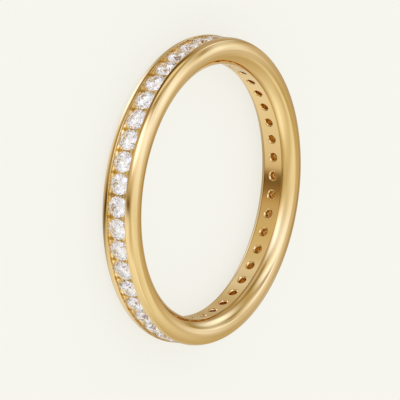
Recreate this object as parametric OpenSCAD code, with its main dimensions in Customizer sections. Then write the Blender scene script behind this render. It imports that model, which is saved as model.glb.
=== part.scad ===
// Channel set eternity band: one cast gold band and a full row of round brilliant stones.
// The band lies on its side. +Z is the axis of the finger hole and the origin is at the
// centre of the underside. Radii are measured from the axis. All sizes are millimetres.

/* [Band] */
// Inside diameter of the finger hole, across the flat inner strip
finger_d = 17.3; // [15:0.1:20]
// Width of the band over both rails
band_w = 2.76; // [2.7:0.02:3]
// Thickness of the band from the finger hole to the crest of the rails
band_t = 1.82; // [1.76:0.01:2.1]
// Radius of the large round over the outside of each rail
outer_round = 0.75; // [0.68:0.01:0.8]
// Radius of the smaller round of each rail inside the finger hole
inner_round = 0.54; // [0.48:0.01:0.6]
// Width of the band over the two smaller rounds
inner_w = 2.32; // [2.2:0.02:2.5]
// Width of the flat strip inside the band, between the two rails
strip_w = 1.34; // [1.2:0.02:1.4]
// How far the flat strip stands in from the rounded inside of the rails
strip_step = 0.01; // [0.005:0.005:0.04]
// Depth of the fine groove along each edge of the strip
edge_groove_d = 0.06; // [0.04:0.01:0.1]
// Width of that groove, measured level with the strip
edge_groove_w = 0.12; // [0.1:0.01:0.16]

/* [Channel] */
// How far each rail reaches over the girdles of the stones
rail_lap = 0.02; // [0.01:0.005:0.05]
// Size of the bevel along each edge of the channel
channel_bevel = 0.04; // [0.02:0.01:0.08]
// Depth of the two ledges below the girdles of the stones
ledge_drop = 0.1; // [0.05:0.01:0.15]
// Width of the slot between the two ledges
slot_w = 0.56; // [0.3:0.02:0.7]
// Depth of the slot below the ledges
slot_depth = 0.28; // [0.1:0.02:0.35]

/* [Stones] */
// Number of stones in the full row
stone_count = 42; // [38:1:46]
// Gap between the girdles of two stones next to each other
stone_gap = 0.066; // [0.05:0.002:0.12]
// Depth of the stones' tables below the crest of the rails
table_sink = 0.05; // [0.02:0.01:0.1]
// Number of main facets round each stone
main_count = 8; // [6:1:10]
// Diameter of the table as a share of the stone's diameter
table_share = 0.575; // [0.5:0.005:0.65]
// Height of the crown as a share of the stone's diameter
crown_share = 0.13; // [0.1:0.005:0.16]
// Thickness of the girdle as a share of the stone's diameter
girdle_share = 0.02; // [0.015:0.005:0.035]
// Depth of the pavilion as a share of the stone's diameter
pavilion_share = 0.43; // [0.4:0.005:0.45]
// Turn of each stone about its own axis from the stone before it, in degrees
stone_turn = 17; // [0:1:44]

/* [Seats and openings] */
// Clearance between a stone and the metal around it
seat_gap = 0.02; // [0.015:0.005:0.03]
// Diameter of the round opening behind each stone
opening_d = 0.5; // [0.4:0.02:0.6]
// Diameter of the countersunk mouth of each opening on the inner strip
mouth_d = 0.7; // [0.62:0.02:0.9]

/* [Hidden] */
// Radii from the axis of the finger hole
strip_r = finger_d / 2;
crest_r = strip_r + band_t;
rail_in_r = strip_r + strip_step;
table_r = crest_r - table_sink;

// The stones fill the girdle circle: their diameter is the chord from one to the next, less the
// gap, and the girdle circle lies below the tables by the crown and half the girdle
stones = round(stone_count);
stone_pitch = 360 / stones;
chord_share = 2 * sin(stone_pitch / 2);
girdle_drop_share = crown_share + girdle_share / 2;
stone_d = (chord_share * table_r - stone_gap) / (1 + chord_share * girdle_drop_share);
table_d = table_share * stone_d;
crown_h = crown_share * stone_d;
girdle_h = girdle_share * stone_d;
pavilion_h = pavilion_share * stone_d;

// Radii of the stones' girdles and points, and of the ledges and the slot below them
girdle_top_r = table_r - crown_h;
girdle_low_r = girdle_top_r - girdle_h;
point_r = girdle_low_r - pavilion_h;
ledge_r = girdle_low_r - ledge_drop;
slot_r = ledge_r - slot_depth;

// Centres of the two rounds of a rail
out_r = crest_r - outer_round;
out_z = band_w / 2 - outer_round;
in_r = rail_in_r + inner_round;
in_z = inner_w / 2 - inner_round;

// Half widths of the strip, the channel and the girdle grooves in the channel's walls
strip_z = strip_w / 2;
channel_z = stone_d / 2 - rail_lap;
groove_z = stone_d / 2 + seat_gap;

// Cut of a round brilliant: the mains, with the half facets between them
mains = round(main_count);
main_turn = 360 / mains;
half_turn = main_turn / 2;
star_share = 0.5;
lower_half_share = 0.24;

// Reach of a cut past the surface that it goes through
past = 0.2;
// Smoothness of curved surfaces
round_fn = 96;
bore_fn = 32;

function stone_name(i) = str("stone_", i < 10 ? "0" : "", i);

// A point at a radius and angle about a stone's axis, at a height along it
function spot(radius, angle, height) = [radius * cos(angle), radius * sin(angle), height];

// Section of one rail, with its radius along X and the band's axis along Y: two rounds, and
// the flat flank that touches both. The flank is drawn upright, then turned about the smaller.
module rail_section() {
    centre_gap = norm([out_r - in_r, out_z - in_z]);
    centre_turn = atan2(out_z - in_z, out_r - in_r);
    round_step = inner_round - outer_round;
    flank_turn = centre_turn + acos(round_step / centre_gap);
    flank_w = sqrt(pow(centre_gap, 2) - pow(round_step, 2));
    translate([in_r, in_z]) rotate(flank_turn) {
        circle(r = inner_round, $fn = round_fn);
        translate([round_step, -flank_w]) circle(r = outer_round, $fn = round_fn);
        polygon([[0, 0], [round_step, -flank_w], [inner_round, -flank_w], [inner_round, 0]]);
    }
}

// Half of the section that the channel takes away, with its bevelled edge and girdle groove
module channel_half() {
    bevel_r = out_r + sqrt(pow(outer_round, 2) - pow(channel_z - out_z, 2)) - channel_bevel;
    groove_low_r = girdle_low_r - seat_gap;
    groove_top_r = girdle_top_r + seat_gap;
    overhang = groove_z - channel_z;
    polygon([
        [slot_r, 0],
        [slot_r, slot_w / 2],
        [ledge_r, slot_w / 2],
        [ledge_r, channel_z],
        [groove_low_r - overhang, channel_z],
        [groove_low_r, groove_z],
        [groove_top_r, groove_z],
        [groove_top_r + overhang, channel_z],
        [bevel_r, channel_z],
        [bevel_r + past, channel_z + past],
        [crest_r + past, 0],
    ]);
}

// Fine groove along one edge of the strip, upright on the strip's side
module edge_groove() {
    slope = edge_groove_w / edge_groove_d;
    polygon([
        [strip_r - past, strip_z],
        [strip_r + edge_groove_d, strip_z],
        [strip_r - past, strip_z + slope * (edge_groove_d + past)],
    ]);
}

// Whole section of the band before the stones' seats are cut
module band_section() {
    difference() {
        union() {
            for (side = [0, 1]) mirror([0, side]) rail_section();
            translate([strip_r, -strip_z]) square([out_r - strip_r, strip_w]);
        }
        for (side = [0, 1]) mirror([0, side]) {
            channel_half();
            edge_groove();
        }
    }
}

// Cutter for one stone's seat: countersunk mouth, round opening and cone below the stone
module seat_cutter() {
    mouth_depth = (mouth_d - opening_d) / 2;
    cone_slope = pavilion_h / (stone_d / 2);
    cone_gap = seat_gap * norm([1, cone_slope]) / cone_slope;
    cone_low_r = point_r + cone_slope * (opening_d / 2 - cone_gap);
    cone_top_r = (ledge_r + girdle_low_r) / 2;
    rotate_extrude($fn = bore_fn)
        polygon([
            [0, strip_r - past],
            [mouth_d / 2 + past, strip_r - past],
            [opening_d / 2, strip_r + mouth_depth],
            [opening_d / 2, cone_low_r],
            [(cone_top_r - point_r) / cone_slope + cone_gap, cone_top_r],
            [0, cone_top_r],
        ]);
}

// Puts a thing that points along +Z where stone number i sits, pointing out from the axis
module at_stone(i) {
    translate([0, 0, band_w / 2]) rotate([0, 90, (i - 1) * stone_pitch]) children();
}

// One cast piece: two rounded rails, the strip between them, and the channel with its seats
module band() {
    color([0.83, 0.66, 0.35])
    difference() {
        translate([0, 0, band_w / 2]) rotate_extrude($fn = 4 * round_fn) band_section();
        for (i = [1:stones]) at_stone(i) seat_cutter();
    }
}

// Round brilliant with its point down, its heights measured from the band's axis
module brilliant() {
    girdle_rad = stone_d / 2;
    table_rad = table_d / 2;
    star_rad = table_rad + star_share * (girdle_rad - table_rad);
    star_h = table_r - (star_rad * cos(half_turn) - table_rad) * crown_h / (girdle_rad - table_rad);
    lower_rad = lower_half_share * girdle_rad;
    lower_h = point_r + lower_rad * cos(half_turn) * pavilion_h / girdle_rad;
    last = mains - 1;
    table = [for (k = [0:last]) spot(table_rad, k * main_turn, table_r)];
    stars = [for (k = [0:last]) spot(star_rad, k * main_turn + half_turn, star_h)];
    upper = [for (k = [0:2 * mains - 1]) spot(girdle_rad, k * half_turn, girdle_top_r)];
    lower = [for (k = [0:2 * mains - 1]) spot(girdle_rad, k * half_turn, girdle_low_r)];
    halves = [for (k = [0:last]) spot(lower_rad, k * main_turn + half_turn, lower_h)];
    star_0 = mains;
    upper_0 = star_0 + mains;
    lower_0 = upper_0 + 2 * mains;
    halves_0 = lower_0 + 2 * mains;
    point_0 = halves_0 + mains;
    function next(k) = (k + 1) % mains;
    function after(k) = (k + 1) % (2 * mains);
    faces = concat(
        [[for (k = [0:last]) last - k]],
        [for (k = [0:last]) [k, next(k), star_0 + k]],
        [for (k = [0:last]) [next(k), star_0 + next(k), upper_0 + 2 * next(k), star_0 + k]],
        [for (k = [0:last]) [star_0 + k, upper_0 + 2 * next(k), upper_0 + 2 * k + 1]],
        [for (k = [0:last]) [star_0 + k, upper_0 + 2 * k + 1, upper_0 + 2 * k]],
        [for (k = [0:2 * mains - 1])
            [upper_0 + k, upper_0 + after(k), lower_0 + after(k), lower_0 + k]],
        [for (k = [0:last]) [halves_0 + k, lower_0 + 2 * k, lower_0 + 2 * k + 1]],
        [for (k = [0:last]) [halves_0 + k, lower_0 + 2 * k + 1, lower_0 + 2 * next(k)]],
        [for (k = [0:last]) [halves_0 + k, lower_0 + 2 * next(k), halves_0 + next(k), point_0]]
    );
    polyhedron(concat(table, stars, upper, lower, halves, [spot(0, 0, point_r)]), faces);
}

// Stone number i, turned a little about its own axis so that no two neighbours look alike
module stone(i) {
    color([0.93, 0.94, 0.96]) at_stone(i) rotate(i * stone_turn) brilliant();
}

band();
for (i = [1:stones]) stone(i);
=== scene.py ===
"""Looks of the channel set eternity band: polished yellow gold, 42 brilliants, pale studio."""

import math

import bpy
import numpy as np
from mathutils import Matrix, Vector


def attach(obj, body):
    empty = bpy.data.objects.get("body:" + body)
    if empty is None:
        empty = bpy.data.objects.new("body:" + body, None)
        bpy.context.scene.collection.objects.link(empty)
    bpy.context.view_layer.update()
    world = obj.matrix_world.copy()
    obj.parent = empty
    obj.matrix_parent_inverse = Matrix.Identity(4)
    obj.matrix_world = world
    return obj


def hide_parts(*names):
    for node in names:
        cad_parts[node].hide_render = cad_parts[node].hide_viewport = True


# Sizes of the ring, in metres, as the solids have them
BAND_W = 2.76e-3           # width of the band over both rails
STRIP_R = 8.65e-3          # radius of the flat strip inside the band
STRIP_Z = 0.67e-3          # half width of that strip
STONES = 42                # stones, and openings behind them
BORE_RAD = 0.25e-3         # radius of an opening
BORE_FROM_R = 8.75e-3      # where its countersunk mouth ends, from the ring's axis
GIRDLE_R = 10.21e-3        # radius at which the stones' girdles sit in the channel's walls
GIRDLE_GROOVE_Z = 0.76e-3  # half width of the grooves in those walls, with a little to spare
WALL_TOP = (10.4257e-3, 0.7104e-3)     # upper edge of the walls: radius, height off the middle
MESH_SPARE = 5e-6          # how far a point of the solid may be off one of these sizes

# How the fine surface of the gold is made
EDGE_GROOVE_D = 0.035e-3   # depth of the fine groove along each edge of the strip, as it shows
EDGE_GROOVE_W = 0.09e-3    # and its width
SECTION_STEPS = 4          # steps along a rail's section from one of its slopes to the next
CELL_STEPS = 8             # faces along each side of the piece of strip round one opening
CELL_ROWS = (0.0, 0.12, 0.35, 0.65, 1.0)     # its rows of points, from the mouth to its sides
MOUTH_TRIES = 12           # tries that close in on where a mouth meets the strip
LIP_STEPS = 7              # rows of points over the rounded lip of each mouth
LIP_BEND = 1.43            # how round that lip is: 2 is a straight countersink, 1 a full round

# Section of a finished rail. It was rounded by hand, so its curve bends unevenly. Both parts
# start at one point near the top of the rail: the inner part runs to the strip, the outer part
# to the channel's bevel. The slopes say how far the surface is turned from facing out (0)
# through facing up (90), in degrees, at even steps along each part.
RAIL_START = (9.4213e-3, 1.3372e-3)   # radius, and height off the middle plane
INNER_SLOPES = (103.6, 119.7, 127.4, 132.1, 142.5, 153.0)
INNER_LENGTH = 1.0155e-3
OUTER_SLOPES = (103.4, 99.9, 78.1, 71.3, 66.2, 63.2, 26.5, 16.9, 5.0)
OUTER_LENGTH = 1.3736e-3

# Framing
PX = 0.0673309e-3          # how much of the ring one pixel of the picture covers
PICTURE_SIDE = 400         # pixels along each side of the picture
LENS = 1650.0              # a long lens, in millimetres, so that the ring keeps its true shape
SENSOR = 36.0
FAR_LIMIT = 10.0           # how far the camera sees
CAMERA_RIGHT = (0.55371, 0.04404, 0.83155)    # the picture's right hand
CAMERA_BACK = (-0.82519, 0.16297, 0.54084)    # the way from the ring to the camera
LEFT_OF_CENTRE = 2.275     # how many pixels the picture's middle lies left of the ring's centre
BELOW_CENTRE = 9.947       # and how many below it

# Colours, linear
PLAIN_BACK = (0.930, 0.922, 0.855)      # paper behind and under the ring
GOLD_POLISHED = (0.83, 0.60, 0.27)
GOLD_RUBBED = (0.80, 0.57, 0.25)        # polished, dulled a little by handling
GOLD_STRIP_EDGE_SHADE = (0.52, 0.34, 0.12)   # painted shade in a thin band beside each edge of the strip
GOLD_CAST = (0.93, 0.82, 0.50)          # skin of the casting inside the channel
GOLD_DEEP = (0.84, 0.67, 0.34)          # the same, in its darker patches
GOLD_CORNER_SHADE = (0.52, 0.32, 0.07)        # the same, under painted shade in the corners between stones
THROWN_LIGHT = (0.10, 0.07, 0.025)      # light that the stones throw on the gold between them
THROWN_UNDER = (0.38, 0.36, 0.37)       # and right under each of them
DIAMOND_CLEAR = (1.0, 1.0, 1.0)
DIAMOND_WARM = (1.0, 0.985, 0.965)
STONE_TIP_SHADE = (0.28, 0.11, 0.015)         # painted shade on a stone's tip, deep in its opening

# Finish of the gold: how rough it is where polished, what a dulled patch and the wheel's lines
# add to that, how rough it is where cast, and what the grain adds there
POLISH_ROUGHNESS = 0.015
DULLED_ROUGHNESS = 0.02
LINES_ROUGHNESS = 0.015
CAST_ROUGHNESS = 0.15
GRAIN_ROUGHNESS = 0.15
LINE_SPACING = 2.2e-5      # metres, as all that follow, but for the shares
LINE_LENGTH = 1.4e-3
LINE_HEIGHT = 4e-8
LINE_SHARE = 0.12          # how much of that height shows
PATCH_SIZE = 1.6e-3        # patches dulled by handling
PATCH_COVER = 0.5          # share of the gold that they cover
PATCH_EDGE = 0.35          # how slowly they fade out, on gold and stones
GRAIN_SIZE = 4.5e-5        # grain of the cast skin
GRAIN_HEIGHT = 4e-6
GRAIN_SHARE = 0.5

# Where each finish fades in, in metres: none at the first value, all of it at the second. The
# values are radii where the name ends in OUT, heights off the ring's middle plane where it ends
# in HIGH, and distances from the nearest gap between two stones where it ends in GAP.
PAST_DRILLED_OUT = (9.4e-3, 9.5e-3)     # behind the openings' walls, which are drilled bright
BELOW_GIRDLES_OUT = (GIRDLE_R + 0.02e-3, GIRDLE_R - 0.02e-3)
WITHIN_WALLS_HIGH = (GIRDLE_GROOVE_Z + 0.02e-3, GIRDLE_GROOVE_Z)
ON_WALL_HIGH = (WALL_TOP[1] + 6e-6, WALL_TOP[1] + 2e-6)
# where the painted shade in the corners between stones lies
CORNER_GAP = (0.17e-3, 0.06e-3)
CORNER_HIGH = (0.34e-3, 0.46e-3)
# where the painted shade beside the strip's edges lies
OFF_STRIP_HIGH = (STRIP_Z, STRIP_Z + 0.02e-3)
NEAR_STRIP_HIGH = (STRIP_Z + 0.17e-3, STRIP_Z + 0.05e-3)
NEAR_STRIP_OUT = (STRIP_R + 0.16e-3, STRIP_R + 0.10e-3)
THROWN_OUT = (9.84e-3, 9.94e-3)         # from how far out the stones' light shows
UNDER_STONE_GAP = (0.22e-3, 0.34e-3)
UNDER_STONE_HIGH = (0.60e-3, 0.50e-3)
STONE_TIP_SHADE_OUT = (9.79e-3, 9.73e-3)      # how far up a stone's back the painted shade reaches
CAST_TONES = (0.3, 0.7)                 # the cloud's own values between which the tone changes
DIAMOND_TONES = (0.35, 0.65)

# Finish of the stones
DIAMOND_IOR = 2.42
STONE_TONE_SCALE = 420.0   # how often the tone changes along a metre
STONE_PATCH_SIZE = 0.5e-3  # patches dulled by handling
STONE_PATCH_COVER = 0.4
STONE_PATCH_ROUGHNESS = 0.012
STONE_MARK_SIZE = 2e-5     # marks of polishing
STONE_MARK_HEIGHT = 2e-8
STONE_MARK_SHARE = 0.1
STONE_BOUNCES = 20         # how many times light may turn inside a stone
ALL_BOUNCES = 24

# The floor, in metres
FLOOR_SIDE = 0.6
FLOOR_TOP = -1e-6          # a hair below the ring, so that the two never meet
FLOOR_GLOW = 0.8           # share of the floor's light that no shadow takes away

# How the stones see the room: its red, green and blue evened out, strengthened and lifted
STONE_WHITE = (0.96, 0.97, 1.06)
STONE_LIGHT_SHARES = (0.5, 0.4, 0.1)
STONE_LIGHT_GAIN = 0.45
STONE_LIGHT_LIFT = 0.50

# Limits of the room's colours
DARKEST = (0.03, 0.035, 0.045)          # what its darkest places still give
WARMEST = (0.0, 0.68, 0.33)             # least green and blue of any place, as shares of red

# Studio light: the even tone of the room, how it changes along x, y and z, and the soft
# panels and dark cards round the ring. A panel's row is its direction (degrees round the
# ring's axis, degrees up), its turn in degrees, its half width and half height as seen from
# the ring, how sharply it ends, and what it adds to red, green and blue.
PANEL_FRONT = 4.0          # how soon a panel comes out full, going from edge-on to facing
STUDIO_BASE = (1.157, 1.186, 1.307)
STUDIO_SLOPE = (
    (-0.209, -0.244, -0.346),
    (-0.305, -0.408, -0.551),
    (-0.107, -0.112, -0.150),
)
SOFT_PANELS = (
    (175.0, -33.9, 18.9, 0.508, 0.127, 2.16, (-1.26, -1.33, -1.36)),
    (103.0, 60.4, -33.4, 0.941, 0.332, 1.44, (0.76, 1.05, 2.01)),
    (141.9, 10.4, 1.3, 0.386, 0.180, 2.45, (1.29, 1.23, 1.68)),
    (92.7, -31.9, 4.6, 0.930, 0.180, 0.76, (0.72, 0.79, 0.92)),
    (60.6, -60.5, -75.8, 0.213, 0.418, 1.41, (1.02, 1.21, 1.83)),
    (-177.0, 31.3, -32.4, 0.345, 1.185, 1.52, (-0.48, -0.60, -0.92)),
    (93.0, 0.8, -5.1, 0.415, 0.146, 2.15, (0.95, 1.05, 1.26)),
    (-140.9, -66.6, 58.8, 0.151, 0.817, 1.16, (-0.46, -0.45, -0.44)),
    (-42.6, 7.4, -44.7, 0.828, 0.675, 1.92, (-0.56, -0.72, -1.03)),
    (23.7, 54.2, 86.0, 0.320, 0.605, 3.49, (-0.40, -0.54, -0.95)),
    (-55.4, 56.4, 32.6, 0.174, 0.700, 2.39, (0.20, 0.26, 0.36)),
    (170.1, -34.4, -73.1, 0.144, 0.521, 1.53, (1.16, 1.27, 1.43)),
    (-16.3, -29.2, -5.1, 0.099, 1.231, 1.08, (-0.22, -0.29, -0.39)),
    (60.4, -21.8, 84.5, 0.179, 1.224, 0.88, (-0.27, -0.30, -0.29)),
    (103.2, 52.0, 49.3, 0.543, 0.225, 1.34, (-0.79, -0.90, -1.30)),
    (33.6, 18.7, 33.3, 0.286, 0.187, 1.61, (0.71, 0.93, 1.51)),
    (73.8, -13.8, 55.9, 0.139, 0.311, 0.95, (-0.31, -0.32, -0.38)),
    (89.5, -72.9, -83.6, 0.594, 0.345, 1.09, (0.85, 0.97, 1.37)),
    (87.4, 6.0, 21.9, 0.350, 0.122, 0.87, (-0.25, -0.29, -0.36)),
    (-144.1, 24.1, -23.1, 0.234, 0.320, 1.38, (-0.40, -0.51, -0.80)),
    (81.3, -42.5, -10.0, 0.350, 0.158, 1.29, (-0.52, -0.58, -0.74)),
    (65.6, 17.8, 69.1, 0.260, 0.129, 0.95, (-0.20, -0.25, -0.40)),
    (93.2, -31.3, 67.1, 0.809, 0.597, 0.56, (-1.39, -1.47, -1.89)),
    (63.5, 61.2, -2.9, 0.151, 0.244, 0.93, (-1.22, -1.47, -2.21)),
    (51.1, 18.8, 31.7, 0.575, 0.143, 1.02, (-0.48, -0.55, -0.67)),
    (60.3, 7.7, -11.2, 0.674, 0.152, 1.33, (-0.31, -0.37, -0.55)),
    (-8.2, 26.9, 26.7, 0.099, 0.205, 0.81, (-0.24, -0.35, -0.71)),
    (33.8, 27.6, -41.3, 0.097, 0.235, 1.24, (-0.99, -1.14, -1.59)),
    (-173.4, 2.5, -8.2, 0.150, 0.393, 0.81, (-0.84, -0.89, -0.95)),
    (22.5, 26.1, 71.5, 0.373, 0.096, 1.41, (-0.53, -0.62, -0.90)),
    (-138.5, -49.5, 46.0, 1.212, 0.807, 1.81, (-0.63, -0.76, -1.07)),
    (67.5, 36.7, 0.6, 0.646, 0.604, 3.99, (0.60, 0.69, 0.94)),
    (105.3, 49.6, 10.8, 0.168, 0.359, 1.28, (-0.42, -0.63, -1.27)),
    (15.1, 37.3, -27.0, 0.133, 0.104, 1.75, (0.45, 0.58, 0.91)),
    (17.6, 29.9, 28.8, 0.166, 0.165, 1.50, (0.25, 0.34, 0.53)),
    (11.3, 37.3, 14.3, 0.123, 0.158, 1.52, (-0.20, -0.21, -0.33)),
    (-16.7, 1.4, -2.2, 0.100, 0.330, 0.49, (0.44, 0.60, 0.85)),
    (91.6, -27.3, -26.3, 1.018, 0.317, 1.05, (0.36, 0.42, 0.58)),
    (78.7, -40.9, 3.7, 0.157, 0.100, 1.13, (-0.06, -0.05, -0.02)),
    (44.8, 46.1, 11.0, 0.215, 0.359, 0.92, (-0.32, -0.26, -0.18)),
    (169.8, -32.5, 4.9, 0.170, 0.111, 1.11, (0.23, 0.15, -0.02)),
    (-161.3, -43.6, 3.3, 0.184, 0.129, 0.98, (-0.20, -0.18, -0.24)),
    (19.7, 36.5, 12.1, 0.145, 0.098, 1.35, (-0.35, -0.40, -0.46)),
    (-169.7, -30.3, 5.7, 0.129, 0.108, 1.04, (0.15, 0.17, 0.20)),
    (96.0, -31.0, 8.0, 0.215, 0.189, 1.45, (0.16, 0.19, 0.32)),
    (-171.8, -33.4, 1.5, 0.217, 0.112, 1.07, (-0.15, -0.23, -0.37)),
)

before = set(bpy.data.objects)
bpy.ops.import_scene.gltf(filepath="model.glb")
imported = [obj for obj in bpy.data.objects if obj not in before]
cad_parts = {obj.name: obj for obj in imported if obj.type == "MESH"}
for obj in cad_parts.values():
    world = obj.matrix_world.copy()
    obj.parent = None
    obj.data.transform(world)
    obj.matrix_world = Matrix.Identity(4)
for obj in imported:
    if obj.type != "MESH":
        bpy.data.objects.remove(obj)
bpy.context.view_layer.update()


# ---------------------------------------------------------------- node helpers
FLOAT = "NodeSocketFloat"
VECTOR = "NodeSocketVector"


def put(tree, kind, inputs=None, **settings):
    """New node of a kind with its settings; inputs are values, or outputs to link from."""
    made = tree.nodes.new(kind)
    for name, value in settings.items():
        setattr(made, name, value)
    for key, value in (inputs or {}).items():
        if isinstance(value, bpy.types.NodeSocket):
            tree.links.new(value, made.inputs[key])
        else:
            made.inputs[key].default_value = value
    return made


def calc(tree, operation, *values, clamp=False):
    """Output of one Math node."""
    made = put(tree, "ShaderNodeMath", dict(enumerate(values)), operation=operation)
    made.use_clamp = clamp
    return made.outputs["Value"]


def vec(tree, operation, *values):
    """Output of one Vector Math node: a number for a dot product or a length."""
    made = put(tree, "ShaderNodeVectorMath", dict(enumerate(values)), operation=operation)
    name = "Value" if operation in ("DOT_PRODUCT", "LENGTH") else "Vector"
    return made.outputs[name]


def blend(tree, share, first, second):
    """Output of one colour mix."""
    made = put(tree, "ShaderNodeMix", {0: share, 6: first, 7: second}, data_type="RGBA")
    return made.outputs[2]


def ramp(tree, value, start, end):
    """Smooth rise from 0 at start to 1 at end; it falls where end is less than start."""
    rise = put(tree, "ShaderNodeMapRange", {
        "Value": value, "From Min": min(start, end), "From Max": max(start, end),
        "To Min": 0.0 if end > start else 1.0, "To Max": 1.0 if end > start else 0.0},
        interpolation_type="SMOOTHSTEP")
    return rise.outputs["Result"]


def new_group(name, inputs, outputs):
    """Shader node group with named sockets: its tree, its inputs and its outputs."""
    tree = bpy.data.node_groups.new(name, "ShaderNodeTree")
    for label, kind, value in inputs:
        socket = tree.interface.new_socket(label, in_out="INPUT", socket_type=kind)
        if value is not None:
            socket.default_value = value
    for label, kind in outputs:
        tree.interface.new_socket(label, in_out="OUTPUT", socket_type=kind)
    entry = tree.nodes.new("NodeGroupInput")
    leave = tree.nodes.new("NodeGroupOutput")
    return tree, entry.outputs, leave.inputs


def place_group(tree, group, inputs):
    """Outputs of a node group placed in a tree with its own values."""
    return put(tree, "ShaderNodeGroup", inputs, node_tree=group).outputs


# ---------------------------------------------------------------- camera
def photo_camera():
    """Camera at the photograph's angle to the ring, turned so that the ring seems upright."""
    data = bpy.data.cameras.new("camera")
    data.sensor_width = SENSOR
    data.lens = LENS
    data.clip_end = FAR_LIMIT
    cam = bpy.data.objects.new("camera", data)
    bpy.context.scene.collection.objects.link(cam)
    right = Vector(CAMERA_RIGHT).normalized()
    back = Vector(CAMERA_BACK).normalized()
    up = back.cross(right).normalized()
    right = up.cross(back)
    centre = Vector((0, 0, BAND_W / 2))
    away = PX * PICTURE_SIDE * LENS / SENSOR
    place = centre + back * away - right * LEFT_OF_CENTRE * PX - up * BELOW_CENTRE * PX
    cam.matrix_world = Matrix((
        (right.x, up.x, back.x, place.x),
        (right.y, up.y, back.y, place.y),
        (right.z, up.z, back.z, place.z),
        (0, 0, 0, 1),
    ))
    bpy.context.scene.camera = cam


# ---------------------------------------------------------------- studio light
def soft_panel_group():
    """Brightness of one soft light panel as seen in a direction from the ring."""
    tree, given, result = new_group(
        "soft panel",
        [("Direction", VECTOR, None), ("Facing", VECTOR, None), ("Across", VECTOR, None),
         ("Along", VECTOR, None), ("Edge", FLOAT, 1.0)],
        [("Light", FLOAT)],
    )
    across = vec(tree, "DOT_PRODUCT", given["Direction"], given["Across"])
    along = vec(tree, "DOT_PRODUCT", given["Direction"], given["Along"])
    ahead = vec(tree, "DOT_PRODUCT", given["Direction"], given["Facing"])
    out_from_middle = calc(tree, "ADD", calc(tree, "MULTIPLY", across, across),
                           calc(tree, "MULTIPLY", along, along))
    fall = calc(tree, "POWER", out_from_middle, given["Edge"])
    light = calc(tree, "EXPONENT", calc(tree, "MULTIPLY", fall, -1.0))
    front = calc(tree, "MULTIPLY", ahead, PANEL_FRONT, clamp=True)
    tree.links.new(calc(tree, "MULTIPLY", light, front), result["Light"])
    return tree


def mirrored_room(tree):
    """Colour of the room in each direction: its even tone, its soft panels and dark cards."""
    panel = soft_panel_group()
    direction = tree.nodes.new("ShaderNodeTexCoord").outputs["Generated"]
    axes = ((1, 0, 0), (0, 1, 0), (0, 0, 1))
    total = STUDIO_BASE
    for axis, change in zip(axes, STUDIO_SLOPE):
        part = vec(tree, "DOT_PRODUCT", direction, axis)
        total = vec(tree, "MULTIPLY_ADD", part, change, total)
    for lon, lat, turn, half_w, half_h, edge, tint in SOFT_PANELS:
        lon, lat, turn = (math.radians(a) for a in (lon, lat, turn))
        facing = Vector((math.cos(lat) * math.cos(lon), math.cos(lat) * math.sin(lon),
                         math.sin(lat)))
        level = Vector((-math.sin(lon), math.cos(lon), 0))
        rising = facing.cross(level)
        across = math.cos(turn) * level + math.sin(turn) * rising
        along = math.cos(turn) * rising - math.sin(turn) * level
        light = place_group(tree, panel, {
            "Direction": direction, "Facing": facing, "Across": across / half_w,
            "Along": along / half_h, "Edge": edge})["Light"]
        total = vec(tree, "MULTIPLY_ADD", light, tint, total)
    red = vec(tree, "DOT_PRODUCT", total, (1, 0, 0))
    total = vec(tree, "MAXIMUM", total, vec(tree, "MULTIPLY", red, WARMEST))
    return vec(tree, "MAXIMUM", total, DARKEST)


def studio_world():
    """The room for the gold, an evened one for the stones, and plain paper for the camera."""
    world = bpy.data.worlds.new("studio")
    bpy.context.scene.world = world
    world.use_nodes = True
    tree = world.node_tree
    tree.nodes.clear()
    tone = mirrored_room(tree)
    evened = vec(tree, "DOT_PRODUCT", tone, STONE_LIGHT_SHARES)
    evened = calc(tree, "MULTIPLY_ADD", evened, STONE_LIGHT_GAIN, STONE_LIGHT_LIFT)
    room = put(tree, "ShaderNodeBackground", {"Color": tone})
    stone_room = put(tree, "ShaderNodeBackground", {"Color": STONE_WHITE + (1,),
                                                    "Strength": evened})
    paper = put(tree, "ShaderNodeBackground", {"Color": PLAIN_BACK + (1,)})
    even = put(tree, "ShaderNodeBackground", {"Color": (1, 1, 1, 1)})
    rays = tree.nodes.new("ShaderNodeLightPath").outputs
    lit = put(tree, "ShaderNodeMixShader", {
        0: rays["Is Transmission Ray"], 1: room.outputs[0], 2: stone_room.outputs[0]})
    lit = put(tree, "ShaderNodeMixShader", {
        0: rays["Is Diffuse Ray"], 1: lit.outputs[0], 2: even.outputs[0]})
    both = put(tree, "ShaderNodeMixShader", {
        0: rays["Is Camera Ray"], 1: lit.outputs[0], 2: paper.outputs[0]})
    put(tree, "ShaderNodeOutputWorld", {"Surface": both.outputs[0]})
    world.cycles.sampling_method = "NONE"


# ---------------------------------------------------------------- finishes that materials share
def ring_place_group():
    """Where a point lies on the ring: along its round, out from its axis, off its middle plane
    and off the nearest gap between two stones."""
    tree, given, result = new_group(
        "ring place",
        [("Point", VECTOR, None)],
        [("Around", FLOAT), ("Out", FLOAT), ("Off Middle", FLOAT), ("Off Gap", FLOAT)],
    )
    point = put(tree, "ShaderNodeSeparateXYZ", {"Vector": given["Point"]}).outputs
    angle = calc(tree, "ARCTAN2", point["Y"], point["X"])
    level = put(tree, "ShaderNodeCombineXYZ", {"X": point["X"], "Y": point["Y"]}).outputs[0]
    tree.links.new(calc(tree, "MULTIPLY", angle, STRIP_R), result["Around"])
    out = vec(tree, "LENGTH", level)
    tree.links.new(out, result["Out"])
    cell = 2 * math.pi / STONES
    share = calc(tree, "FRACT", calc(tree, "DIVIDE", angle, cell))
    off_gap = calc(tree, "ABSOLUTE", calc(tree, "SUBTRACT", share, 0.5))
    off_gap = calc(tree, "MULTIPLY", calc(tree, "MULTIPLY", off_gap, cell), out)
    tree.links.new(off_gap, result["Off Gap"])
    off_middle = calc(tree, "ABSOLUTE", calc(tree, "SUBTRACT", point["Z"], BAND_W / 2))
    tree.links.new(off_middle, result["Off Middle"])
    return tree


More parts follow.
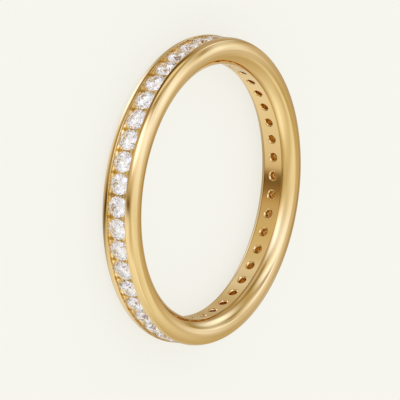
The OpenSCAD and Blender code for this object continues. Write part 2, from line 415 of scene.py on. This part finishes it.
def wheel_lines_group():
    """Fine lines that a polishing wheel leaves along the round of a band."""
    tree, given, result = new_group(
        "wheel lines",
        [("Around", FLOAT, 0), ("Out", FLOAT, 0), ("Off Middle", FLOAT, 0),
         ("Line Spacing", FLOAT, 1e-5), ("Line Length", FLOAT, 1e-3)],
        [("Lines", FLOAT)],
    )
    spot = put(tree, "ShaderNodeCombineXYZ", {
        "X": calc(tree, "DIVIDE", given["Around"], given["Line Length"]),
        "Y": calc(tree, "DIVIDE", given["Out"], given["Line Spacing"]),
        "Z": calc(tree, "DIVIDE", given["Off Middle"], given["Line Spacing"])})
    lines = put(tree, "ShaderNodeTexNoise", {
        "Vector": spot.outputs[0], "Scale": 1.0, "Detail": 2.0, "Roughness": 0.6})
    tree.links.new(lines.outputs["Fac"], result["Lines"])
    return tree


def handling_group():
    """Faint dulled patches that handling leaves, from 0 for clean to 1 for dull."""
    tree, given, result = new_group(
        "handling",
        [("Point", VECTOR, None), ("Patch Size", FLOAT, 1e-3), ("Cover", FLOAT, 0.5)],
        [("Dulled", FLOAT)],
    )
    spot = vec(tree, "DIVIDE", given["Point"], given["Patch Size"])
    cloud = put(tree, "ShaderNodeTexNoise", {
        "Vector": spot, "Scale": 1.0, "Detail": 3.0, "Roughness": 0.55,
        "Distortion": 0.6}).outputs["Fac"]
    from_share = calc(tree, "SUBTRACT", 1.0, given["Cover"])
    dulled = put(tree, "ShaderNodeMapRange", {
        "Value": cloud, "From Min": from_share,
        "From Max": calc(tree, "ADD", from_share, PATCH_EDGE)}, interpolation_type="SMOOTHSTEP")
    tree.links.new(dulled.outputs["Result"], result["Dulled"])
    return tree


def cast_skin_group():
    """Grain of a casting's skin where no wheel reaches: its height and its tone."""
    tree, given, result = new_group(
        "cast skin",
        [("Point", VECTOR, None), ("Grain Size", FLOAT, 5e-5)],
        [("Grain", FLOAT), ("Tone", FLOAT)],
    )
    spot = vec(tree, "DIVIDE", given["Point"], given["Grain Size"])
    grain = put(tree, "ShaderNodeTexNoise", {
        "Vector": spot, "Scale": 1.0, "Detail": 3.0, "Roughness": 0.6})
    tone = put(tree, "ShaderNodeTexNoise", {
        "Vector": spot, "Scale": 0.2, "Detail": 2.0, "Roughness": 0.5})
    tree.links.new(grain.outputs["Fac"], result["Grain"])
    tree.links.new(tone.outputs["Fac"], result["Tone"])
    return tree


# ---------------------------------------------------------------- gold
def unpolished_places(tree, place):
    """Two masks: the recess behind the stones, and all that no wheel reaches, walls included."""
    past_drilled = ramp(tree, place["Out"], *PAST_DRILLED_OUT)
    below_girdles = ramp(tree, place["Out"], *BELOW_GIRDLES_OUT)
    within_walls = ramp(tree, place["Off Middle"], *WITHIN_WALLS_HIGH)
    on_wall = ramp(tree, place["Off Middle"], *ON_WALL_HIGH)
    recess = calc(tree, "MULTIPLY", calc(tree, "MULTIPLY", past_drilled, below_girdles),
                  within_walls)
    unpolished = calc(tree, "MAXIMUM", recess, calc(tree, "MULTIPLY", on_wall, past_drilled))
    return recess, unpolished


def gold_colour(tree, place, skin, dulled, recess):
    """Cast gold in the recess, polished gold elsewhere, painted shade in corners and by the
    strip.
    """
    tone = ramp(tree, skin["Tone"], *CAST_TONES)
    cast = blend(tree, tone, GOLD_DEEP + (1,), GOLD_CAST + (1,))
    # painted shade in the channel's corners between stones, near its walls
    corner = calc(tree, "MULTIPLY", ramp(tree, place["Off Gap"], *CORNER_GAP),
                  ramp(tree, place["Off Middle"], *CORNER_HIGH))
    cast = blend(tree, corner, cast, GOLD_CORNER_SHADE + (1,))
    polished_face = blend(tree, dulled, GOLD_POLISHED + (1,), GOLD_RUBBED + (1,))
    # painted shade in a thin band beside each edge of the strip
    strip_edge_shade = calc(tree, "MULTIPLY", ramp(tree, place["Off Middle"], *OFF_STRIP_HIGH),
                    ramp(tree, place["Off Middle"], *NEAR_STRIP_HIGH))
    strip_edge_shade = calc(tree, "MULTIPLY", strip_edge_shade, ramp(tree, place["Out"], *NEAR_STRIP_OUT))
    polished_face = blend(tree, strip_edge_shade, polished_face, GOLD_STRIP_EDGE_SHADE + (1,))
    return blend(tree, recess, polished_face, cast)


def gold_roughness(tree, lines, dulled, skin, unpolished):
    """Mirror polish with its lines and dulled patches, or the casting's matte skin."""
    polish = calc(tree, "MULTIPLY_ADD", dulled, DULLED_ROUGHNESS, POLISH_ROUGHNESS)
    polish = calc(tree, "MULTIPLY_ADD", lines, LINES_ROUGHNESS, polish)
    matte = calc(tree, "MULTIPLY_ADD", skin["Grain"], GRAIN_ROUGHNESS, CAST_ROUGHNESS)
    mixed = put(tree, "ShaderNodeMix", {0: unpolished, 2: polish, 3: matte})
    return mixed.outputs[0]


def gold_relief(tree, lines, skin, recess):
    """Fine relief: grain in the recess, the wheel's lines everywhere."""
    grain = put(tree, "ShaderNodeBump", {
        "Height": calc(tree, "MULTIPLY", skin["Grain"], recess),
        "Strength": GRAIN_SHARE, "Distance": GRAIN_HEIGHT})
    relief = put(tree, "ShaderNodeBump", {
        "Height": lines, "Strength": LINE_SHARE, "Distance": LINE_HEIGHT,
        "Normal": grain.outputs[0]})
    return relief.outputs[0]


def light_from_stones(tree, place, recess):
    """Faint light that the stones throw on the gold of the recess, most of it under each."""
    reached = calc(tree, "MULTIPLY", recess, ramp(tree, place["Out"], *THROWN_OUT))
    under = calc(tree, "MULTIPLY", ramp(tree, place["Off Gap"], *UNDER_STONE_GAP),
                 ramp(tree, place["Off Middle"], *UNDER_STONE_HIGH))
    thrown = blend(tree, under, THROWN_LIGHT + (1,), THROWN_UNDER + (1,))
    return blend(tree, reached, (0, 0, 0, 1), thrown)


def gold_material(shared):
    """Yellow gold: mirror polish on the rails and the strip, cast skin inside the channel."""
    made = bpy.data.materials.new("polished gold")
    made.cycles.emission_sampling = "NONE"
    made.use_nodes = True
    tree = made.node_tree
    bsdf = tree.nodes["Principled BSDF"]
    point = tree.nodes.new("ShaderNodeTexCoord").outputs["Object"]
    place = place_group(tree, shared["ring place"], {"Point": point})
    lines = place_group(tree, shared["wheel lines"], {
        "Around": place["Around"], "Out": place["Out"], "Off Middle": place["Off Middle"],
        "Line Spacing": LINE_SPACING, "Line Length": LINE_LENGTH})["Lines"]
    dulled = place_group(tree, shared["handling"], {
        "Point": point, "Patch Size": PATCH_SIZE, "Cover": PATCH_COVER})["Dulled"]
    skin = place_group(tree, shared["cast skin"], {"Point": point, "Grain Size": GRAIN_SIZE})
    recess, unpolished = unpolished_places(tree, place)
    colour = gold_colour(tree, place, skin, dulled, recess)
    tree.links.new(colour, bsdf.inputs["Base Color"])
    roughness = gold_roughness(tree, lines, dulled, skin, unpolished)
    tree.links.new(roughness, bsdf.inputs["Roughness"])
    tree.links.new(gold_relief(tree, lines, skin, recess), bsdf.inputs["Normal"])
    bsdf.inputs["Metallic"].default_value = 1.0
    tree.links.new(light_from_stones(tree, place, recess), bsdf.inputs["Emission Color"])
    bsdf.inputs["Emission Strength"].default_value = 1.0
    return made


# ---------------------------------------------------------------- the gold's surface
def curve_from(start, slopes, length, direction):
    """Points and slopes along a curve that starts at a point and is turned by given slopes."""
    steps = SECTION_STEPS * (len(slopes) - 1)
    share = np.linspace(0, 1, steps + 1)
    slope = np.radians(np.interp(share, np.linspace(0, 1, len(slopes)), slopes))
    middle = (slope[1:] + slope[:-1]) / 2
    step = direction * length / steps
    radius = start[0] - step * np.concatenate([[0], np.cumsum(np.sin(middle))])
    height = start[1] + step * np.concatenate([[0], np.cumsum(np.cos(middle))])
    return np.stack([radius, height], 1), slope


def straight(first, last):
    """Two ends of a straight part of the section, with the slope of its outward side."""
    along = (last[0] - first[0], last[1] - first[1])
    slope = math.atan2(-along[0], along[1])
    return np.array([first, last]), np.array([slope, slope])


def rail_parts():
    """Parts of one rail's section, each smooth in itself, from the strip to the channel."""
    inner, inner_slope = curve_from(RAIL_START, INNER_SLOPES, INNER_LENGTH, 1)
    outer, outer_slope = curve_from(RAIL_START, OUTER_SLOPES, OUTER_LENGTH, -1)
    groove_r = STRIP_R + EDGE_GROOVE_D
    groove_slope = EDGE_GROOVE_D / EDGE_GROOVE_W
    clear = inner[:, 0] > groove_r - groove_slope * (inner[:, 1] - STRIP_Z)
    inner, inner_slope = inner[clear], inner_slope[clear]
    return [
        straight((STRIP_R, STRIP_Z), (groove_r, STRIP_Z)),
        straight((groove_r, STRIP_Z), tuple(inner[-1])),
        (inner, inner_slope),
        (outer, outer_slope),
        straight(tuple(outer[-1]), WALL_TOP),
    ]


class Surface:
    """Points, outward normals and faces of one piece, added part by part."""

    def __init__(self):
        self.points = []
        self.normals = []
        self.faces = []
        self.count = 0

    def add(self, points, normals, faces):
        """Adds a part; its faces are turned so that they look the way their normals do."""
        ends = points[faces]
        looks = np.cross(ends[:, 1] - ends[:, 0], ends[:, 2] - ends[:, 0])
        outward = normals[faces].sum(1)
        back = (looks * outward).sum(1) < 0
        faces = np.where(back[:, None], faces[:, ::-1], faces)
        self.points.append(points)
        self.normals.append(normals)
        self.faces += (faces + self.count).tolist()
        self.count += len(points)

    def piece(self, name):
        """The Blender object that all the parts make."""
        mesh = bpy.data.meshes.new(name)
        mesh.from_pydata(np.concatenate(self.points).tolist(), [], self.faces)
        mesh.polygons.foreach_set("use_smooth", [True] * len(mesh.polygons))
        mesh.normals_split_custom_set_from_vertices(np.concatenate(self.normals).tolist())
        made = bpy.data.objects.new(name, mesh)
        bpy.context.scene.collection.objects.link(made)
        return made


def grid_faces(rows, columns):
    """Four-sided faces of a grid of points whose last row joins its first."""
    row, column = np.meshgrid(np.arange(rows), np.arange(columns - 1), indexing="ij")
    after = (row + 1) % rows
    corners = [row * columns + column, after * columns + column,
               after * columns + column + 1, row * columns + column + 1]
    return np.stack([c.ravel() for c in corners], 1)


def add_rails(surface):
    """Both rails, turned round the ring's axis from their section."""
    turns = STONES * CELL_STEPS
    angle = np.arange(turns) * 2 * math.pi / turns
    for section, slope in rail_parts():
        for side in (1, -1):
            out, up = np.cos(slope), np.sin(slope) * side
            height = BAND_W / 2 + side * section[:, 1]
            columns = len(section)
            cos, sin = np.cos(angle)[:, None], np.sin(angle)[:, None]
            flat = np.ones((turns, 1))
            points = np.stack([cos * section[:, 0], sin * section[:, 0], flat * height], 2)
            normals = np.stack([cos * out, sin * out, flat * up], 2)
            surface.add(points.reshape(-1, 3), normals.reshape(-1, 3),
                        grid_faces(turns, columns))


def mouth_radius(turn):
    """Radius of a countersunk mouth on the strip, in a direction round the opening."""
    radius = np.full(len(turn), BORE_RAD)
    for _ in range(MOUTH_TRIES):
        reach = np.sqrt(STRIP_R ** 2 - (radius * np.cos(turn)) ** 2)
        radius = BORE_RAD + BORE_FROM_R - reach
    return radius


def add_strip(surface):
    """The inner strip, one cell round each opening, with the rounded lip of its mouth."""
    half = math.pi / STONES
    run = np.arange(CELL_STEPS) / CELL_STEPS * 2 - 1
    one = np.ones(CELL_STEPS)
    edge_angle = half * np.concatenate([run, one, -run, -one])
    edge_z = STRIP_Z * np.concatenate([-one, run, one, -run])
    turn = np.arctan2(edge_z, edge_angle * STRIP_R)
    radius = mouth_radius(turn)
    aside, rise = radius * np.cos(turn), radius * np.sin(turn)
    mouth_angle = np.arcsin(aside / STRIP_R)
    round_count = len(turn)
    over = [(math.cos(t), math.sin(t)) for t in np.linspace(0, math.pi / 2, LIP_STEPS)]
    over[-1] = (0.0, 1.0)      # the last row lies on the opening's edge to the last digit
    for cell in range(STONES):
        middle = cell * 2 * half
        angle = middle + np.stack(
            [mouth_angle + s * (edge_angle - mouth_angle) for s in CELL_ROWS], 1)
        height = BAND_W / 2 + np.stack([rise + s * (edge_z - rise) for s in CELL_ROWS], 1)
        away = np.stack([np.cos(angle), np.sin(angle), np.zeros_like(angle)], 2)
        points = STRIP_R * away
        points[..., 2] = height
        surface.add(points.reshape(-1, 3), -away.reshape(-1, 3),
                    grid_faces(round_count, len(CELL_ROWS)))

        out = np.array([math.cos(middle), math.sin(middle), 0])
        beside = np.array([-math.sin(middle), math.cos(middle), 0])
        up = np.array([0, 0, 1.0])
        spoke = np.cos(turn)[:, None] * beside + np.sin(turn)[:, None] * up
        bore = BORE_FROM_R * out + BORE_RAD * spoke + BAND_W / 2 * up
        rim = points[:, 0]
        depth = ((bore - rim) @ out)[:, None]
        behind = rim + depth * out
        lip = np.stack([behind + a ** LIP_BEND * (rim - behind) + b ** LIP_BEND * (bore - behind)
                        for a, b in over], 1)
        outward = np.stack([-(a ** (2 - LIP_BEND) * out + b ** (2 - LIP_BEND) * spoke)
                            for a, b in over], 1)
        outward /= np.linalg.norm(outward, axis=2, keepdims=True)
        surface.add(lip.reshape(-1, 3), outward.reshape(-1, 3),
                    grid_faces(round_count, LIP_STEPS))


def add_channel(surface, solid):
    """The inside of the channel and the openings, just as the solid has them."""
    mesh = solid.data
    points = np.empty(len(mesh.vertices) * 3)
    mesh.vertices.foreach_get("co", points)
    points = points.reshape(-1, 3)
    corners = np.empty(len(mesh.loops), dtype=int)
    mesh.loops.foreach_get("vertex_index", corners)
    corner_normals = np.empty(len(mesh.loops) * 3)
    mesh.corner_normals.foreach_get("vector", corner_normals)
    normals = np.zeros_like(points)
    normals[corners] = corner_normals.reshape(-1, 3)
    faces = corners.reshape(-1, 3)
    out = np.hypot(points[:, 0], points[:, 1])
    inside = np.abs(points[:, 2] - BAND_W / 2) < GIRDLE_GROOVE_Z
    inside &= (out > BORE_FROM_R - MESH_SPARE) & (out < WALL_TOP[0] + MESH_SPARE)
    surface.add(points, normals, faces[inside[faces].all(1)])


def gold_surface(solid):
    """The band as it looks: fine smooth rails and strip, and the solid's own channel."""
    surface = Surface()
    add_rails(surface)
    add_strip(surface)
    add_channel(surface, solid)
    return surface.piece("gold_surface")


# ---------------------------------------------------------------- diamonds
def diamond_material(shared):
    """Clear diamond, stones a shade apart, with faint polishing marks and painted shade on the
    tip.
    """
    made = bpy.data.materials.new("diamond")
    made.use_nodes = True
    tree = made.node_tree
    bsdf = tree.nodes["Principled BSDF"]
    point = tree.nodes.new("ShaderNodeTexCoord").outputs["Object"]
    shade = put(tree, "ShaderNodeTexNoise", {
        "Vector": point, "Scale": STONE_TONE_SCALE, "Detail": 1.0}).outputs["Fac"]
    colour = blend(tree, ramp(tree, shade, *DIAMOND_TONES), DIAMOND_CLEAR + (1,),
                   DIAMOND_WARM + (1,))
    place = place_group(tree, shared["ring place"], {"Point": point})
    # painted shade, dark brown, on each stone's tip deep in its opening
    tip_shade = ramp(tree, place["Out"], *STONE_TIP_SHADE_OUT)
    tree.links.new(blend(tree, tip_shade, colour, STONE_TIP_SHADE + (1,)), bsdf.inputs["Base Color"])
    dulled = place_group(tree, shared["handling"], {
        "Point": point, "Patch Size": STONE_PATCH_SIZE, "Cover": STONE_PATCH_COVER})["Dulled"]
    roughness = calc(tree, "MULTIPLY", dulled, STONE_PATCH_ROUGHNESS)
    tree.links.new(roughness, bsdf.inputs["Roughness"])
    marks = place_group(tree, shared["cast skin"], {
        "Point": point, "Grain Size": STONE_MARK_SIZE})
    bump = put(tree, "ShaderNodeBump", {
        "Height": marks["Grain"], "Strength": STONE_MARK_SHARE, "Distance": STONE_MARK_HEIGHT})
    tree.links.new(bump.outputs[0], bsdf.inputs["Normal"])
    bsdf.inputs["Transmission Weight"].default_value = 1.0
    bsdf.inputs["IOR"].default_value = DIAMOND_IOR
    return made


# ---------------------------------------------------------------- floor and light's turns
def pale_floor():
    """Pale paper under the ring, which keeps only a faint shadow of it."""
    bpy.ops.mesh.primitive_plane_add(size=FLOOR_SIDE, location=(0, 0, FLOOR_TOP))
    floor = bpy.context.object
    floor.name = "floor"
    paper = bpy.data.materials.new("pale paper")
    paper.use_nodes = True
    bsdf = paper.node_tree.nodes["Principled BSDF"]
    lit_share = tuple(c * (1 - FLOOR_GLOW) for c in PLAIN_BACK)
    bsdf.inputs["Base Color"].default_value = lit_share + (1,)
    bsdf.inputs["Specular IOR Level"].default_value = 0.0
    bsdf.inputs["Emission Color"].default_value = PLAIN_BACK + (1,)
    bsdf.inputs["Emission Strength"].default_value = FLOOR_GLOW
    floor.data.materials.append(paper)
    floor.visible_glossy = False


def follow_light_in_stones():
    """Light turns many times inside a cut stone before it comes out again."""
    cycles = bpy.context.scene.cycles
    cycles.max_bounces = ALL_BOUNCES
    cycles.glossy_bounces = STONE_BOUNCES
    cycles.transmission_bounces = STONE_BOUNCES


# ---------------------------------------------------------------- the scene
photo_camera()
studio_world()
follow_light_in_stones()
shared = {tree.name: tree for tree in (
    ring_place_group(), wheel_lines_group(), handling_group(), cast_skin_group())}
gold = gold_material(shared)
diamond = diamond_material(shared)
for name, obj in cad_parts.items():
    if name != "band":
        obj.material_slots[0].material = diamond
metal = gold_surface(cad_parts["band"])
metal.data.materials.append(gold)
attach(metal, "root")
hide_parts("band")
pale_floor()
bpy.context.scene.view_settings.view_transform = "Standard"
